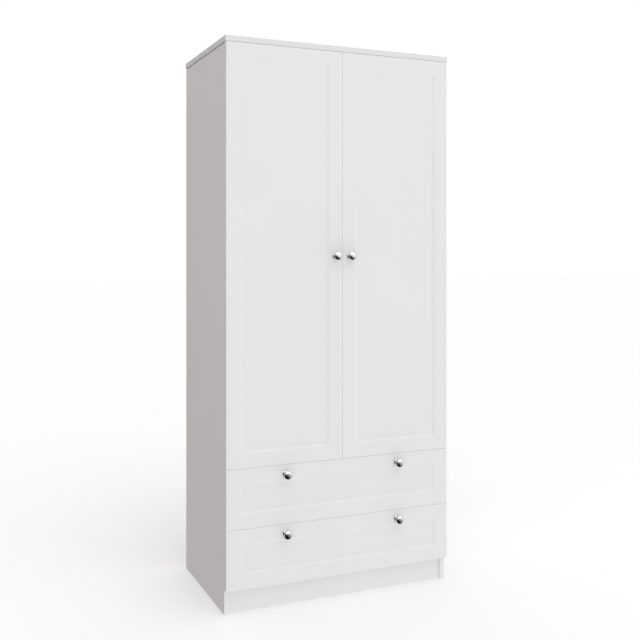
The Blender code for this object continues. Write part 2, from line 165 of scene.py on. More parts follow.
def own_place(tree, stretch):
    """The piece's own coordinates, stretched."""
    place = tree.nodes.new("ShaderNodeTexCoord")
    mapping = tree.nodes.new("ShaderNodeMapping")
    mapping.inputs["Scale"].default_value = stretch
    tree.links.new(place.outputs["Object"], mapping.inputs["Vector"])
    return mapping.outputs["Vector"]


def noise(tree, scale, detail=3.0, stretch=(1.0, 1.0, 1.0)):
    """The value of a noise in the piece's own coordinates, about 0.3 to 0.7."""
    place = own_place(tree, stretch)
    made = tree.nodes.new("ShaderNodeTexNoise")
    made.inputs["Scale"].default_value = scale
    made.inputs["Detail"].default_value = detail
    tree.links.new(place, made.inputs["Vector"])
    return made.outputs["Fac"]


def flakes(tree, scale, stretch=(1.0, 1.0, 1.0)):
    """A random value for each cell of a Voronoi pattern."""
    place = own_place(tree, stretch)
    cells = tree.nodes.new("ShaderNodeTexVoronoi")
    cells.inputs["Scale"].default_value = scale
    split = tree.nodes.new("ShaderNodeSeparateColor")
    tree.links.new(place, cells.inputs["Vector"])
    tree.links.new(cells.outputs["Color"], split.inputs["Color"])
    return split.outputs["Red"]


def spread(tree, value, low, high, start=0.3, stop=0.7):
    """A value mapped from start..stop to low..high."""
    made = tree.nodes.new("ShaderNodeMapRange")
    for label, number in (("From Min", start), ("From Max", stop), ("To Min", low), ("To Max", high)):
        made.inputs[label].default_value = number
    tree.links.new(value, made.inputs["Value"])
    return made.outputs["Result"]


def mixed(tree, factor, first, second):
    """Two colours mixed; each is a colour triple or another node's output."""
    made = tree.nodes.new("ShaderNodeMix")
    made.data_type = "RGBA"
    tree.links.new(factor, made.inputs["Factor"])
    for socket, colour in ((made.inputs[6], first), (made.inputs[7], second)):
        if isinstance(colour, tuple):
            socket.default_value = (*colour, 1.0)
        else:
            tree.links.new(colour, socket)
    return made.outputs[2]


def finish_with(made, colour, roughness, height, strength, depth):
    """Links colour, roughness and a height for the bump to a finish's shader."""
    tree = made.node_tree
    shader = tree.nodes["Principled BSDF"]
    bump = tree.nodes.new("ShaderNodeBump")
    bump.inputs["Strength"].default_value = strength
    bump.inputs["Distance"].default_value = depth
    tree.links.new(height, bump.inputs["Height"])
    tree.links.new(bump.outputs["Normal"], shader.inputs["Normal"])
    tree.links.new(colour, shader.inputs["Base Color"])
    tree.links.new(roughness, shader.inputs["Roughness"])
    return made


def shades(colour, contrast):
    """A darker and a lighter shade of a colour."""
    return tuple(v * (1 - contrast) for v in colour), tuple(min(v * (1 + contrast), 1.0) for v in colour)


def foil(name, colour, roughness=(0.40, 0.47), peel=900.0, strength=0.05):
    """Satin foil on a smooth board: faint clouds and specks, uneven gloss and a fine orange peel."""
    made = new_finish(name, Specular_IOR_Level=0.35)
    tree = made.node_tree
    dark, light = shades(colour, 0.007)
    clouds = mixed(tree, spread(tree, noise(tree, 3.0), 0.0, 1.0), dark, light)
    speck_dark, speck_light = shades((0.5, 0.5, 0.5), 0.02)
    specks = mixed(tree, spread(tree, noise(tree, 420.0, 2.0), 0.0, 1.0), speck_dark, speck_light)
    tinted = tree.nodes.new("ShaderNodeMix")
    tinted.data_type = "RGBA"
    tinted.blend_type = "SOFT_LIGHT"
    tinted.inputs["Factor"].default_value = 0.5
    tree.links.new(clouds, tinted.inputs[6])
    tree.links.new(specks, tinted.inputs[7])
    rough = spread(tree, noise(tree, 9.0, 4.0), *roughness)
    return finish_with(made, tinted.outputs[2], rough, noise(tree, peel, 2.0), strength, 0.0002)


def chipboard(name):
    """The raw cut edge of a particle board: packed light and dark flakes, with pores."""
    made = new_finish(name)
    tree = made.node_tree
    bits = spread(tree, flakes(tree, 520.0, (1.0, 1.0, 2.2)), 0.0, 1.0, 0.0, 1.0)
    colour = mixed(tree, bits, (0.36, 0.25, 0.15), (0.66, 0.52, 0.36))
    shaded = mixed(tree, spread(tree, noise(tree, 160.0), 0.0, 0.6), colour, (0.25, 0.17, 0.10))
    rough = spread(tree, noise(tree, 240.0), 0.72, 0.92)
    return finish_with(made, shaded, rough, bits, 0.5, 0.0004)


def hardboard(name):
    """The unpainted back of a thin fibreboard: brown, felted, with stray fibres."""
    made = new_finish(name)
    tree = made.node_tree
    felt = spread(tree, noise(tree, 260.0, 5.0, (1.0, 1.0, 0.35)), 0.0, 1.0)
    colour = mixed(tree, felt, (0.30, 0.185, 0.098), (0.40, 0.262, 0.150))
    clouds = mixed(tree, spread(tree, noise(tree, 2.4), 0.0, 0.35), colour, (0.47, 0.32, 0.19))
    rough = spread(tree, noise(tree, 80.0), 0.66, 0.82)
    return finish_with(made, clouds, rough, felt, 0.35, 0.0003)


def metal(name, colour, roughness, stretch=(1.0, 1.0, 1.0), scale=300.0, strength=0.03, contrast=0.03):
    """Plated or polished metal with faint handling marks."""
    made = new_finish(name, metallic=1.0)
    tree = made.node_tree
    dark, light = shades(colour, contrast)
    marks = noise(tree, scale, 3.0, stretch)
    colours = mixed(tree, spread(tree, noise(tree, 60.0), 0.0, 1.0), dark, light)
    rough = spread(tree, noise(tree, 140.0, 4.0, stretch), *roughness)
    return finish_with(made, colours, rough, marks, strength, 0.0001)


def plastic(name, colour, roughness, strength=0.06, scale=600.0, **constants):
    """Moulded plastic or powder coat with a fine texture."""
    made = new_finish(name, **constants)
    tree = made.node_tree
    dark, light = shades(colour, 0.012)
    colours = mixed(tree, spread(tree, noise(tree, 35.0), 0.0, 1.0), dark, light)
    rough = spread(tree, noise(tree, 90.0), *roughness)
    return finish_with(made, colours, rough, noise(tree, scale, 2.0), strength, 0.0002)


WHITE = (0.800, 0.800, 0.800)
TOP_WHITE = (0.750, 0.750, 0.750)
SIDE_WHITE = (0.822, 0.780, 0.774)
INSIDE_WHITE = (0.800, 0.798, 0.792)

FINISH = {
    "front": foil("front foil", WHITE),
    "front_back": foil("front back foil", INSIDE_WHITE, (0.46, 0.54), 700.0),
    "top": foil("top foil", TOP_WHITE, (0.38, 0.46)),
    "side": foil("side foil", SIDE_WHITE, (0.42, 0.50)),
    "carcass": foil("inside foil", INSIDE_WHITE, (0.42, 0.50)),
    "band": foil("edge band", WHITE, (0.34, 0.42), 1400.0, 0.03),
    "box": foil("drawer box foil", INSIDE_WHITE, (0.48, 0.56), 800.0),
    "lacquer": foil("white lacquer", (0.79, 0.79, 0.785), (0.50, 0.60), 500.0, 0.08),
    # Painted shade: a near-black finish that darkens the rebate under the top panel, where there is only
    # shade.
    "gap": foil("rebate painted shade", (0.10, 0.098, 0.098), (0.55, 0.65), 700.0),
    "chipboard": chipboard("raw particle board"),
    "hardboard": hardboard("raw hardboard"),
    "chrome": metal("chrome", (0.50, 0.50, 0.505), (0.05, 0.10), scale=500.0, strength=0.01),
    "rail": metal("rail chrome", (0.62, 0.62, 0.63), (0.10, 0.18), (0.05, 1.0, 1.0), 500.0, 0.02),
    "nickel": metal("nickel", (0.64, 0.62, 0.59), (0.24, 0.36), (0.2, 1.0, 1.0), 600.0, 0.05),
    "zinc": metal("zinc", (0.66, 0.67, 0.69), (0.30, 0.42), scale=800.0, strength=0.06),
    "powder": plastic("white powder coat", (0.76, 0.76, 0.755), (0.40, 0.52), 0.12, 1200.0),
    "nylon": plastic("nylon", (0.74, 0.73, 0.69), (0.34, 0.42), 0.04),
    "plastic": plastic("white plastic", (0.80, 0.80, 0.795), (0.30, 0.38), 0.04),
    "silicone": plastic("silicone", (0.72, 0.73, 0.73), (0.14, 0.22), 0.02, Coat_Weight=0.3),
}


# --- mesh tools -----------------------------------------------------------------------------------


def mesh_of(bm, name, smooth_angle=None):
    bmesh.ops.recalc_face_normals(bm, faces=bm.faces)
    mesh = bpy.data.meshes.new(name)
    bm.to_mesh(mesh)
    bm.free()
    if smooth_angle is not None:
        mesh.shade_smooth()
        mesh.set_sharp_from_angle(angle=math.radians(smooth_angle))
    return mesh


def give(mesh, finishes, index=None):
    """Sets the finishes of a mesh that has none, by name, and may set one of them on all its faces."""
    if not mesh.materials:
        for finish in finishes:
            mesh.materials.append(FINISH[finish])
    if index is not None:
        mesh.polygons.foreach_set("material_index", [index] * len(mesh.polygons))


def add_piece(name, mesh, body, finishes, replaced=(), at=None):
    """A piece with its finishes, riding on a body; finishes are names, in material index order."""
    give(mesh, finishes)
    piece = bpy.data.objects.new(name, mesh)
    SCENE.collection.objects.link(piece)
    if at is not None:
        piece.matrix_world = at
    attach(piece, body)
    if replaced:
        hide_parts(*replaced)
    return piece


def filleted(points, radii, steps=3):
    """A polyline whose corners are rounded by arcs; a radius of 0 keeps its corner."""
    path = []
    for index, (point, radius) in enumerate(zip(points, radii)):
        corner = Vector(point)
        if radius == 0:
            path.append(corner)
            continue
        back = (Vector(points[index - 1]) - corner).normalized()
        ahead = (Vector(points[(index + 1) % len(points)]) - corner).normalized()
        half = back.angle(ahead) / 2
        centre = corner + (back + ahead).normalized() * radius / math.sin(half)
        first = corner + back * radius / math.tan(half) - centre
        last = corner + ahead * radius / math.tan(half) - centre
        sweep = first.angle(last)
        for step in range(steps + 1):
            share = step / steps
            fading = first * math.sin((1 - share) * sweep)
            growing = last * math.sin(share * sweep)
            path.append(centre + (fading + growing) / math.sin(sweep))
    return path


def rounded_rectangle(low, high, radius, steps=4):
    corners = [(low[0], low[1]), (high[0], low[1]), (high[0], high[1]), (low[0], high[1])]
    return filleted(corners, [radius] * 4, steps)


def lofted(rings):
    """A closed solid through rings of equally many points, with a cap on the first and the last."""
    bm = bmesh.new()
    loops = [[bm.verts.new(point) for point in ring] for ring in rings]
    for lower, upper in zip(loops, loops[1:]):
        for index in range(len(lower)):
            after = (index + 1) % len(lower)
            bm.faces.new((lower[index], lower[after], upper[after], upper[index]))
    bm.faces.new(loops[0])
    bm.faces.new(loops[-1])
    return bm


def prism(outline, start, end, axis="Z"):
    """An outline of (a, b) points pushed along an axis; a and b are the two other axes, in order."""
    spot = {
        "X": lambda a, b, along: (along, a, b),
        "Y": lambda a, b, along: (a, along, b),
        "Z": lambda a, b, along: (a, b, along),
    }[axis]
    return lofted([[spot(a, b, along) for a, b in outline] for along in (start, end)])


def lathe(profile, steps=48):
    """A solid of revolution about Z from (radius, height) points that start and end on the axis."""
    bm = bmesh.new()
    points = [bm.verts.new((radius, 0.0, height)) for radius, height in profile]
    edges = [bm.edges.new(pair) for pair in zip(points, points[1:])]
    bmesh.ops.spin(
        bm, geom=points + edges, cent=(0, 0, 0), axis=(0, 0, 1), angle=2 * math.pi, steps=steps
    )
    bmesh.ops.remove_doubles(bm, verts=bm.verts, dist=MERGE)
    return bm


def curved(points, per_span=3):
    """A smooth Catmull-Rom line through 2D points."""
    line = [Vector(point) for point in points]
    path = []
    for index in range(len(line) - 1):
        a, b = line[max(index - 1, 0)], line[index]
        c, d = line[index + 1], line[min(index + 2, len(line) - 1)]
        for step in range(per_span):
            t = step / per_span
            slope = (c - a) * t
            square = (2 * a - 5 * b + 4 * c - d) * t**2
            cube = (3 * b - a - 3 * c + d) * t**3
            path.append(0.5 * (2 * b + slope + square + cube))
    path.append(line[-1])
    return path


def circle(radius, centre=(0.0, 0.0), steps=24):
    angles = [2 * math.pi * step / steps for step in range(steps)]
    return [(centre[0] + radius * math.cos(t), centre[1] + radius * math.sin(t)) for t in angles]


def boolean(base, tool_bm, operation, finishes=("nickel",)):
    """A mesh joined with, or cut by, a tool in the same frame, as a new mesh.

    The faces that the tool leaves take the last of the finishes."""
    tool = bpy.data.objects.new("tool", mesh_of(tool_bm, "tool"))
    give(tool.data, finishes, len(finishes) - 1)
    give(base, finishes)
    work = bpy.data.objects.new("work", base)
    for item in (tool, work):
        SCENE.collection.objects.link(item)
    change = work.modifiers.new("change", "BOOLEAN")
    change.object = tool
    change.operation = operation
    change.solver = "EXACT"
    change.material_mode = "INDEX"
    bpy.context.view_layer.update()
    made = bpy.data.meshes.new_from_object(work.evaluated_get(bpy.context.evaluated_depsgraph_get()))
    for item in (tool, work):
        bpy.data.objects.remove(item)
    return made


def joined(parts):
    """One bmesh of several meshes, each given with its matrix."""
    bm = bmesh.new()
    for mesh, matrix in parts:
        known = len(bm.verts)
        bm.from_mesh(mesh)
        bm.verts.ensure_lookup_table()
        bmesh.ops.transform(bm, matrix=matrix, verts=bm.verts[known:])
    return bm


def gathered(name, parts, smooth_angle=40.0):
    """Copies of small meshes as one mesh, without touching their winding."""
    bm = joined(parts)
    mesh = bpy.data.meshes.new(name)
    bm.to_mesh(mesh)
    bm.free()
    mesh.shade_smooth()
    mesh.set_sharp_from_angle(angle=math.radians(smooth_angle))
    return mesh


def facing(direction, at):
    """A matrix that turns +Z to a direction and moves the origin to a place."""
    return Matrix.Translation(at) @ Vector(direction).to_track_quat("Z", "Y").to_matrix().to_4x4()


def ease(bm, width, segments):
    """Merges coplanar faces and rounds the sharp edges."""
    bmesh.ops.dissolve_limit(bm, angle_limit=FLAT_ANGLE, verts=bm.verts, edges=bm.edges)
    inner = [edge for edge in bm.edges if len(edge.link_faces) == 2]
    sharp = [edge for edge in inner if edge.calc_face_angle(0.0) > SHARP_ANGLE]
    bmesh.ops.bevel(
        bm, geom=sharp, offset=width, segments=segments, profile=0.5, affect="EDGES", clamp_overlap=True
    )


def eased_copy(node, width, segments=2, material_index=None):
    """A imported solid's outline with clean faces and rounded edges."""
    bm = bmesh.new()
    bm.from_mesh(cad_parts[node].data)
    bmesh.ops.remove_doubles(bm, verts=bm.verts, dist=MERGE)
    ease(bm, width, segments)
    for face in bm.faces:
        face.smooth = False
        face.material_index = material_index(face) if material_index else 0
    mesh = bpy.data.meshes.new(node + "_eased")
    bm.to_mesh(mesh)
    bm.free()
    return mesh


# --- boards -----------------------------------------------------------------------------------


def face_kind(normal_axis, raw=()):
    """Chooses foil (0) on the broad faces, edge band (1) on the edges, raw board (2) on raw sides."""

    def chosen(face):
        normal = face.normal
        if abs(normal[normal_axis]) > 0.97:
            return 0
        if any(normal.dot(Vector(direction)) > 0.9 for direction in raw):
            return 2
        return 1

    return chosen


def add_boards():
    """Boards that need only eased edges, each with the finish of its faces, edges and cut sides."""
    rear, under, left, right = (0, 1, 0), (0, 0, -1), (-1, 0, 0), (1, 0, 0)
    carcass = ("carcass", "band", "chipboard")
    plinth = ("front", "band", "chipboard")
    boards = [
        ("top_panel", "root", "white_top", ("top", "top", "chipboard"), 2, (rear, under), TOP_EASE),
        ("bottom_panel", "root", "white_carcass", carcass, 2, (rear, left, right), BOARD_EASE),
        ("middle_shelf", "root", "white_carcass", carcass, 2, (rear, left, right), BOARD_EASE),
        ("hat_shelf", "root", "white_carcass", carcass, 2, (rear, left, right), BOARD_EASE),
        ("plinth_front", "root", "white_carcass", plinth, 1, (left, right), BOARD_EASE),
        ("plinth_rear", "root", "white_carcass", ("chipboard",) * 3, 1, (), BOARD_EASE),
    ]
    for level in DRAWERS:
        body = f"drawer_{level}"
        box = ("box", "band", "chipboard")
        parts = (
            ("side_left", 0, (rear, under)),
            ("side_right", 0, (rear, under)),
            ("back", 1, (left, right, under)),
        )
        for part, axis, raw in parts:
            boards.append((f"{body}_{part}", body, "white_drawer_box", box, axis, raw, BOX_EASE))
    for node, body, slot, finishes, axis, raw, width in boards:
        mesh = eased_copy(node, width, 2, face_kind(axis, raw))
        add_piece(f"{node}_board", mesh, body, finishes, (node,))
    add_thin_boards()


def add_thin_boards():
    """Hardboards: white on the side that shows inside, raw brown on the other, and the seam strip."""

    def lacquered(direction):
        return lambda face: 0 if face.normal.dot(Vector(direction)) > 0.9 else 1

    finishes = ("lacquer", "hardboard")
    for half in ("lower", "upper"):
        node = f"back_panel_{half}"
        mesh = eased_copy(node, THIN_EASE, 1, lacquered((0, -1, 0)))
        add_piece(f"{node}_board", mesh, "root", finishes, (node,))
    for level in DRAWERS:
        node = f"drawer_{level}_bottom"
        mesh = eased_copy(node, THIN_EASE, 1, lacquered((0, 0, 1)))
        add_piece(f"{node}_board", mesh, f"drawer_{level}", finishes, (node,))
    node = "back_joint_strip"
    strip = eased_copy(node, THIN_EASE, 2)
    add_piece(f"{node}_profile", strip, "root", ("plastic",), (node,))


def add_sides():
    """Side panels with rows of shelf-pin holes in their inner faces."""
    rows = (CARCASS_Y + HOLE_ROW_INSET, REAR_Y - 2 * HOLE_ROW_INSET)
    finishes = ("side", "carcass", "band", "gap", "chipboard")
    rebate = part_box("top_panel")[0].z - SHADOW_GAP

    def kind(face):
        """Foil on both faces, edge band in front, a near-black painted shade in the rebate, bare board
        where it is sawn.
        """
        normal = face.normal
        # The rebate's faces take the near-black painted shade.
        if face.calc_center_median().z > rebate - FIT and abs(normal.y) < 0.5:
            return 3
        if normal.y > 0.9 or abs(normal.z) > 0.9:
            return 4
        if normal.y < -0.3:
            return 2
        outer = face.calc_center_median().x * side > OUTER_X - 0.001
        return 0 if outer else 1

    for label, side in SIDES.items():
        node = f"side_panel_{label}"
        panel = eased_copy(node, BOARD_EASE, 2, kind)
        face_x = side * INNER_X
        bore = prism(circle(HOLE_RADIUS, steps=12), -HOLE_DEPTH, HOLE_DEPTH, "X")
        drill = mesh_of(bore, "drill")
        holes = [
            (drill, Matrix.Translation((face_x, y, start + index * HOLE_PITCH)))
            for y in rows
            for start, count in HOLE_ROWS
            for index in range(count)
        ]
        panel = boolean(panel, joined(holes), "DIFFERENCE", finishes)
        add_piece(f"{node}_drilled", panel, "root", finishes, (node,))


# --- fronts -----------------------------------------------------------------------------------


def front_profile():
    """(inset, depth) from a front's back edge, round its side, over the frame and into the field."""
    thickness = DOOR_BACK_Y - FRONT_Y
    inner = STILE + BEVEL_WIDTH
    points = [
        (2 * OUTER_EASE, thickness),
        (0.0, thickness),
        (0.0, 0.0),
        (STILE, 0.0),
        (inner, FIELD_DEPTH),
        (inner + 3 * MILLED_EASE, FIELD_DEPTH),
    ]
    radii = (0, BOARD_EASE, OUTER_EASE, 2 * MILLED_EASE, 2 * MILLED_EASE, 0)
    return filleted(points, radii, 3)


def milled_front(low, high, name):
    """A front board with eased outer edges and a softly milled frame."""
    rings = []
    for inset, depth in front_profile():
        if inset < STILE / 2:
            radius = max(OUTER_CORNER - inset, SMALLEST_CORNER)
        else:
            radius = FIELD_CORNER - (inset - STILE) * CORNER_SHRINK
        near = (low.x + inset, low.z + inset)
        far = (high.x - inset, high.z - inset)
        outline = rounded_rectangle(near, far, radius)
        rings.append([(a, low.y + depth, b) for a, b in outline])
    front = mesh_of(lofted(rings), name)
    for face in front.polygons:
        face.material_index = 1 if face.normal.y > 0.9 else 0
    return front


def add_fronts():
    finishes = ("front", "front_back", "chipboard")
    for label, side in SIDES.items():
        node = f"door_{label}"
        door = milled_front(*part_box(node), node)
        for level in LEVELS:
            z = sum(corner.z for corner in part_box(f"hinge_cup_{label}_{level}")) / 2
            centre = (side * (OUTER_X - CUP_CENTRE), z)
            floor_y = DOOR_BACK_Y - CUP_DEPTH - FIT
            bore = prism(circle(CUP_RADIUS + FIT, centre, 48), floor_y, REAR_Y, "Y")
            door = boolean(door, bore, "DIFFERENCE", finishes)
        add_piece(f"{node}_milled", door, node, finishes, (node,))
    for level in DRAWERS:
        node = f"drawer_{level}_front"
        front = milled_front(*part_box(node), node)
        add_piece(f"{node}_milled", front, f"drawer_{level}", finishes, (node,))


# --- fasteners ----------------------------------------------------------------------------------


def screw_head(radius, height, name):
    """A domed head with a cross recess, standing on Z = 0."""
    shares = ((1.0, 0.0), (1.0, 0.35), (0.86, 0.75), (0.5, 0.97))
    dome = [(radius * across, height * up) for across, up in shares]
    head = mesh_of(lathe([(0.0, 0.0), *curved(dome, 2), (0.0, height)], 24), name)
    arm, width = radius * 0.58, radius * 0.17
    for a, b in ((arm, width), (width, arm)):
        outline = [(-a, -b), (a, -b), (a, b), (-a, b)]
        head = boolean(head, prism(outline, height * 0.4, height * 2), "DIFFERENCE")
    return head


def cap_mesh(radius, height, name):
    """A flat round cover with a rolled edge, standing on Z = 0."""
    edge = filleted([(radius, 0.0), (radius, height), (0.0, height)], (0, height * 0.8, 0), 4)
    return mesh_of(lathe([(0.0, 0.0), *edge], 32), name)


SMALL_SCREW = screw_head(0.0036, 0.0016, "small_screw")
FLAT_SCREW = screw_head(0.0038, 0.0007, "flat_screw")
PAN_SCREW = screw_head(0.0046, 0.0026, "pan_screw")
COVER = cap_mesh(0.0085, 0.0011, "cover")
NAIL = cap_mesh(0.0024, 0.0007, "nail")
BUFFER = cap_mesh(0.0040, 0.0015, "buffer")


def add_set(name, mesh, places, body, finish):
    """Copies of one small mesh at (direction, place) pairs, as one piece."""
    parts = [(mesh, facing(direction, at)) for direction, at in places]
    return add_piece(name, gathered(name, parts), body, (finish,))


def add_covers():
    """Cam covers under the fixed shelves and at the top of the sides, and end screws of the boxes."""
    spots_y = (CARCASS_Y + 0.060, REAR_Y - 0.090)
    for node in ("middle_shelf", "hat_shelf", "bottom_panel"):
        low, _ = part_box(node)
        places = [
            ((0, 0, -1), (side * (INNER_X - COVER_INSET), y, low.z))
            for side in SIDES.values()
            for y in spots_y
        ]
        add_set(f"{node}_covers", COVER, places, "root", "plastic")
    top_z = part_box("top_panel")[0].z
    for label, side in SIDES.items():
        places = [((-side, 0, 0), (side * INNER_X, y, top_z - COVER_INSET)) for y in spots_y]
        add_set(f"side_covers_{label}", COVER, places, "root", "plastic")
    for level in DRAWERS:
        back_low, back_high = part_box(f"drawer_{level}_back")
        heights = (back_low.z + BOX_SCREW_INSET, back_high.z - BOX_SCREW_INSET)
        for label, side in SIDES.items():
            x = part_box(f"drawer_{level}_side_{label}")[0 if side < 0 else 1].x
            y = (back_low.y + back_high.y) / 2
            places = [((side, 0, 0), (x, y, z)) for z in heights]
            name = f"drawer_{level}_box_screws_{label}"
            add_set(name, SMALL_SCREW, places, f"drawer_{level}", "zinc")


def add_nails():
    """Nail rows that hold the back to the rear edges of the fixed shelves."""
    back_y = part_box("back_panel_lower")[1].y
    reach = INNER_X - NAIL_INSET
    for node in ("bottom_panel", "middle_shelf", "hat_shelf"):
        low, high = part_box(node)
        z = (low.z + high.z) / 2
        xs = [-reach + 2 * reach * index / (NAIL_COUNT - 1) for index in range(NAIL_COUNT)]
        places = [((0, 1, 0), (x, back_y, z)) for x in xs]
        add_set(f"nails_{node}", NAIL, places, "root", "zinc")


def add_buffers():
    """Clear buffers on the doors' and drawer fronts' backs, where they meet the carcass."""
    meet = CARCASS_Y - DOOR_BACK_Y
    for label, side in SIDES.items():
        low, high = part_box(f"door_{label}")
        x = side * (OUTER_X - BUFFER_INSET)
        heights = (low.z + BUFFER_END, high.z - BUFFER_END)
        places = [((0, 1, 0), (x, DOOR_BACK_Y, z)) for z in heights]
        add_set(f"buffers_door_{label}", BUFFER, places, f"door_{label}", "silicone")
    for level in DRAWERS:
        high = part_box(f"drawer_{level}_front")[1]
        xs = (-(OUTER_X - BUFFER_INSET), OUTER_X - BUFFER_INSET)
        places = [((0, 1, 0), (x, DOOR_BACK_Y, high.z - meet - BUFFER_DROP)) for x in xs]
        add_set(f"buffers_drawer_{level}", BUFFER, places, f"drawer_{level}", "silicone")


# --- knobs -----------------------------------------------------------------------------------


def add_knobs():
    profile = KNOB_FOOT + curved([KNOB_FOOT[-1], *KNOB_WAIST, *KNOB_RIM, *KNOB_CROWN], 4)[1:]
    knob = mesh_of(lathe(profile, 64), "knob", 50.0)
    holders = [("door", label, f"door_{label}") for label in SIDES]
    holders += [(f"drawer_{level}", label, f"drawer_{level}") for level in DRAWERS for label in SIDES]
    for kind, label, body in holders:
        node = f"knob_{kind}_{label}"
        low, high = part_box(node)
        centre = Vector(((low.x + high.x) / 2, FRONT_Y, (low.z + high.z) / 2))
        at = facing((0, -1, 0), centre)
        add_piece(f"{node}_turned", knob, body, ("chrome",), (node,), at)
        screw_at = [((0, 1, 0), (centre.x, DOOR_BACK_Y, centre.z))]
        add_set(f"{node}_screw", PAN_SCREW, screw_at, body, "zinc")


# --- hinges -----------------------------------------------------------------------------------


def hinge_cup_mesh():
    """A pressed cup with a rolled lip and an oblong flange, drawn as the left door's."""
    near, far = CUP_FLANGE_SPAN
    tall = CUP_FLANGE_HEIGHT / 2
    inner = CUP_RADIUS - CUP_WALL
    corners = [(near, -tall), (far, -tall), (far, tall), (near, tall)]
    outline = filleted(corners, [CUP_FLANGE_CORNER] * 4, 6)
    flange = mesh_of(prism(outline, FIT, CUP_FLANGE, "Y"), "hinge_cup")
    centre = (CUP_CENTRE, 0.0)
    shell = prism(circle(CUP_RADIUS, centre, 64), -CUP_DEPTH, CUP_FLANGE + CUP_LIP, "Y")
    hollow = prism(circle(inner, centre, 64), CUP_WALL - CUP_DEPTH, REAR_Y, "Y")
    whole = boolean(flange, shell, "UNION")
    whole = boolean(whole, hollow, "DIFFERENCE")
    bm = bmesh.new()
    bm.from_mesh(whole)
    ease(bm, PRESSED_EASE, 2)
    return mesh_of(bm, "hinge_cup", 30.0)


def add_hinges():
    """Cups with their screws, arms with plate and adjusting screws, and the links between them."""
    cup = hinge_cup_mesh()
    screw_x, screw_z = CUP_SCREW
    for label, side in SIDES.items():
        flip = Matrix.Identity(4) if side < 0 else Matrix.Rotation(math.pi, 4, "Y")
        for level in LEVELS:
            tag = f"{label}_{level}"
            low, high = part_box(f"hinge_cup_{tag}")
            z = (low.z + high.z) / 2
            at = Matrix.Translation((side * OUTER_X, DOOR_BACK_Y, z)) @ flip
            door = f"door_{label}"
            cup_node = f"hinge_cup_{tag}"
            add_piece(f"{cup_node}_pressed", cup, door, ("nickel",), (cup_node,), at)
            cup_x = side * (OUTER_X - screw_x)
            places = [((0, 1, 0), (cup_x, DOOR_BACK_Y + CUP_FLANGE, z + s * screw_z)) for s in (-1, 1)]
            add_set(f"{cup_node}_screws", SMALL_SCREW, places, door, "zinc")

            arm_node = f"hinge_arm_{tag}"
            arm = eased_copy(arm_node, ARM_EASE, 2)
            add_piece(f"{arm_node}_pressed", arm, "root", ("nickel",), (arm_node,))
            inwards = (-side, 0, 0)
            arm_x = side * (OUTER_X - ARM_TOP)
            plate_x = side * (OUTER_X - PLATE_TOP)
            places = [(inwards, (arm_x, DOOR_BACK_Y + y, z)) for y in ARM_SCREWS]
            add_set(f"{arm_node}_screws", SMALL_SCREW, places, "root", "zinc")
            plate_y = DOOR_BACK_Y + PLATE_SCREW
            places = [(inwards, (plate_x, plate_y, z + s * PLATE_SCREW_HEIGHT)) for s in (-1, 1)]
            add_set(f"{arm_node}_plate_screws", SMALL_SCREW, places, "root", "zinc")

            link_node = f"hinge_link_{tag}"
            link = eased_copy(link_node, PRESSED_EASE, 1)
            links = f"hinge_links_{label}"
            add_piece(f"{link_node}_pressed", link, links, ("nickel",), (link_node,))


# --- rail and runners -----------------------------------------------------------------------------


def add_rail():
    """The oval tube, open at both ends, and its sockets."""
    low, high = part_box("hanging_rail")
    centre = (low + high) / 2
    half_y, half_z = (high.y - low.y) / 2, (high.z - low.z) / 2
    stations = [
        (low.x, half_y - RAIL_WALL, half_z - RAIL_WALL),
        (low.x, half_y - RAIL_LIP, half_z - RAIL_LIP),
        (low.x + RAIL_LIP, half_y, half_z),
        (high.x - RAIL_LIP, half_y, half_z),
        (high.x, half_y - RAIL_LIP, half_z - RAIL_LIP),
        (high.x, half_y - RAIL_WALL, half_z - RAIL_WALL),
    ]
    steps = 64
    angles = [2 * math.pi * step / steps for step in range(steps)]
    bm = bmesh.new()
    loops = []
    for x, radius_y, radius_z in stations:
        loop = []
        for t in angles:
            y = centre.y + radius_y * math.cos(t)
            z = centre.z + radius_z * math.sin(t)
            loop.append(bm.verts.new((x, y, z)))
        loops.append(loop)
    for first, second in zip(loops, loops[1:] + loops[:1]):
        for index in range(steps):
            after = (index + 1) % steps
            bm.faces.new((first[index], first[after], second[after], second[index]))
    rail = mesh_of(bm, "rail", 40.0)
    add_piece("hanging_rail_tube", rail, "root", ("rail",), ("hanging_rail",))
    for label in SIDES:
        node = f"rail_socket_{label}"
        socket = eased_copy(node, SOCKET_EASE, 2)
        add_piece(f"{node}_cast", socket, "root", ("rail",), (node,))


def roller_mesh():
    """A nylon wheel with a crowned tread and an axle head, along Z."""
    start, end = ROLLER_SPAN
    radius = ROLLER_RADIUS
    first, last = start + ROLLER_CROWN, end - ROLLER_CROWN
    tread = [(radius * 0.97, start), (radius, first), (radius, last), (radius * 0.97, end)]
    hub = [
        (radius * 0.62, end),
        (radius * 0.58, last),
        (radius * 0.34, last),
        (radius * 0.30, end),
    ]
    return mesh_of(lathe([(0.0, start), *tread, *hub, (0.0, end)], 40), "roller", 35.0)


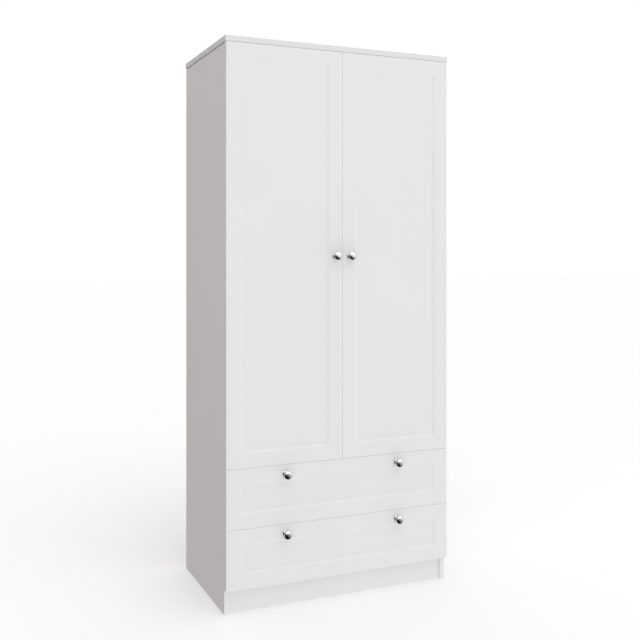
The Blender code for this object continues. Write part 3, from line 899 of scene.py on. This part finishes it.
def add_runners():
    """Steel profiles, each with its nylon roller, and the screws that hold them."""
    roller = roller_mesh()
    for level in DRAWERS:
        for label, side in SIDES.items():
            inwards = (-side, 0, 0)
            wall_x = side * INNER_X
            for kind, body in (("cabinet", "root"), ("drawer", f"drawer_{level}")):
                node = f"runner_{kind}_{level}_{label}"
                profile = eased_copy(node, THIN_EASE, 1)
                add_piece(f"{node}_rolled", profile, body, ("powder",), (node,))
                low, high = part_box(node)
                end_y = low.y + ROLLER_END if kind == "cabinet" else high.y - ROLLER_END
                profile_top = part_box(f"runner_drawer_{level}_{label}")[1].z
                axle_z = profile_top - ROLLER_CLEAR - ROLLER_RADIUS
                at = facing(inwards, (wall_x, end_y, axle_z))
                add_piece(f"{node}_roller", roller, body, ("nylon",), (), at)
            low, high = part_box(f"runner_cabinet_{level}_{label}")
            face_x = side * (INNER_X - RUNNER_SCREW_FACE)
            length = high.y - low.y
            ys = [low.y + length * share for share in RUNNER_SCREW_SHARES]
            places = [(inwards, (face_x, y, (low.z + high.z) / 2)) for y in ys]
            name = f"runner_cabinet_{level}_{label}_screws"
            add_set(name, FLAT_SCREW, places, "root", "zinc")


# --- stage -----------------------------------------------------------------------------------


# The studio's soft light: broad lobes of a dome, each by its azimuth (0 is the front, 90 the right)
# and height in degrees, with its strength.
DOME_LOBES = [((0.0, 90.0), 1.55), ((0.0, 35.0), 1.05), ((180.0, 35.0), 0.6)]
# What the white floor sends back to matt surfaces, and the softboxes that metal sees instead.
FLOOR_LOBES = [((-45.0, -35.0), 1.05), ((90.0, -35.0), 1.8), ((0.0, -90.0), 1.05)]
SOFTBOX_LOBES = [((25.0, 25.0), 1.4), ((85.0, -10.0), 1.2), ((-40.0, 45.0), 0.8)]
LOBE_POWER = 3.0
# Metal also sees a dark room low on the left in front, between these cosines of its direction.
DARK_PLACE = (-25.0, -40.0)
DARK_EDGE = (0.45, 0.85)
DARK_LEVEL = 0.02
FLOOR_WHITE = (0.95, 0.95, 0.95)


def add_camera():
    data = bpy.data.cameras.new("camera")
    data.lens = 50.0
    data.sensor_width = 36.0
    data.shift_y = CAMERA_SHIFT
    camera = bpy.data.objects.new("camera", data)
    camera.location = (CAMERA_X, FRONT_Y - CAMERA_FROM_FRONT, CAMERA_Z)
    camera.rotation_euler = (math.pi / 2, 0.0, -math.radians(CAMERA_TURN))
    SCENE.collection.objects.link(camera)
    SCENE.camera = camera


def towards(azimuth, height):
    turn, rise = math.radians(azimuth), math.radians(height)
    return (math.sin(turn) * math.cos(rise), -math.cos(turn) * math.cos(rise), math.sin(rise))


def calculated(tree, operation, first, second):
    """The result of a Math node; an argument is a number or another node's output."""
    made = tree.nodes.new("ShaderNodeMath")
    made.operation = operation
    for socket, value in zip(made.inputs, (first, second)):
        if isinstance(value, (int, float)):
            socket.default_value = value
        else:
            tree.links.new(value, socket)
    return made.outputs["Value"]


def cosine(tree, direction, place):
    """The cosine of the angle between a direction and a place of the dome."""
    made = tree.nodes.new("ShaderNodeVectorMath")
    made.operation = "DOT_PRODUCT"
    made.inputs[1].default_value = towards(*place)
    tree.links.new(direction, made.inputs[0])
    return made.outputs["Value"]


def lobes_light(tree, direction, lobes):
    """The summed brightness of some lobes in each direction."""
    total = 0.0
    for place, strength in lobes:
        lobe = calculated(tree, "MAXIMUM", cosine(tree, direction, place), 0.0)
        lobe = calculated(tree, "POWER", lobe, LOBE_POWER)
        total = calculated(tree, "ADD", calculated(tree, "MULTIPLY", lobe, strength), total)
    return total


def dome_light(tree, direction, glossy):
    """The dome's brightness in each direction, as matt surfaces or as metal see it."""
    matt = calculated(tree, "SUBTRACT", 1.0, glossy)
    floor = calculated(tree, "MULTIPLY", lobes_light(tree, direction, FLOOR_LOBES), matt)
    softbox = calculated(tree, "MULTIPLY", lobes_light(tree, direction, SOFTBOX_LOBES), glossy)
    total = calculated(tree, "ADD", lobes_light(tree, direction, DOME_LOBES), floor)
    total = calculated(tree, "ADD", total, softbox)
    dark = spread(tree, cosine(tree, direction, DARK_PLACE), 0.0, 1.0 - DARK_LEVEL, *DARK_EDGE)
    kept = calculated(tree, "SUBTRACT", 1.0, calculated(tree, "MULTIPLY", dark, glossy))
    return calculated(tree, "MULTIPLY", total, kept)


def add_world():
    """A white backdrop for the camera, and the soft dome for everything else."""
    world = bpy.data.worlds.new("studio")
    world.use_nodes = True
    SCENE.world = world
    tree = world.node_tree
    tree.nodes.clear()
    output = tree.nodes.new("ShaderNodeOutputWorld")
    mix = tree.nodes.new("ShaderNodeMixShader")
    path = tree.nodes.new("ShaderNodeLightPath")
    backdrop = tree.nodes.new("ShaderNodeBackground")
    backdrop.inputs["Color"].default_value = (1.0, 1.0, 1.0, 1.0)
    dome = tree.nodes.new("ShaderNodeBackground")
    dome.inputs["Color"].default_value = (1.0, 1.0, 1.0, 1.0)
    direction = tree.nodes.new("ShaderNodeTexCoord").outputs["Generated"]
    brightness = dome_light(tree, direction, path.outputs["Is Glossy Ray"])
    tree.links.new(brightness, dome.inputs["Strength"])
    tree.links.new(path.outputs["Is Camera Ray"], mix.inputs["Fac"])
    tree.links.new(dome.outputs["Background"], mix.inputs[1])
    tree.links.new(backdrop.outputs["Background"], mix.inputs[2])
    tree.links.new(mix.outputs["Shader"], output.inputs["Surface"])


def add_floor():
    """A pale floor that only takes the object's soft shadow."""
    bm = bmesh.new()
    bmesh.ops.create_grid(bm, x_segments=1, y_segments=1, size=30.0)
    floor = bpy.data.objects.new("floor", mesh_of(bm, "floor"))
    floor.location.z = -0.0004
    floor.visible_diffuse = False
    floor.visible_glossy = False
    floor.visible_shadow = False
    finish = new_finish("pale floor", Specular_IOR_Level=0.1)
    tree = finish.node_tree
    dark, light = shades(FLOOR_WHITE, 0.004)
    colour = mixed(tree, spread(tree, noise(tree, 1.5), 0.0, 1.0), dark, light)
    rough = spread(tree, noise(tree, 20.0), 0.7, 0.8)
    finish_with(finish, colour, rough, noise(tree, 200.0), 0.02, 0.0002)
    floor.data.materials.append(finish)
    SCENE.collection.objects.link(floor)


add_camera()
add_world()
add_floor()
add_boards()
add_sides()
add_fronts()
add_covers()
add_nails()
add_buffers()
add_knobs()
add_hinges()
add_rail()
add_runners()
SCENE.view_settings.view_transform = "Standard"
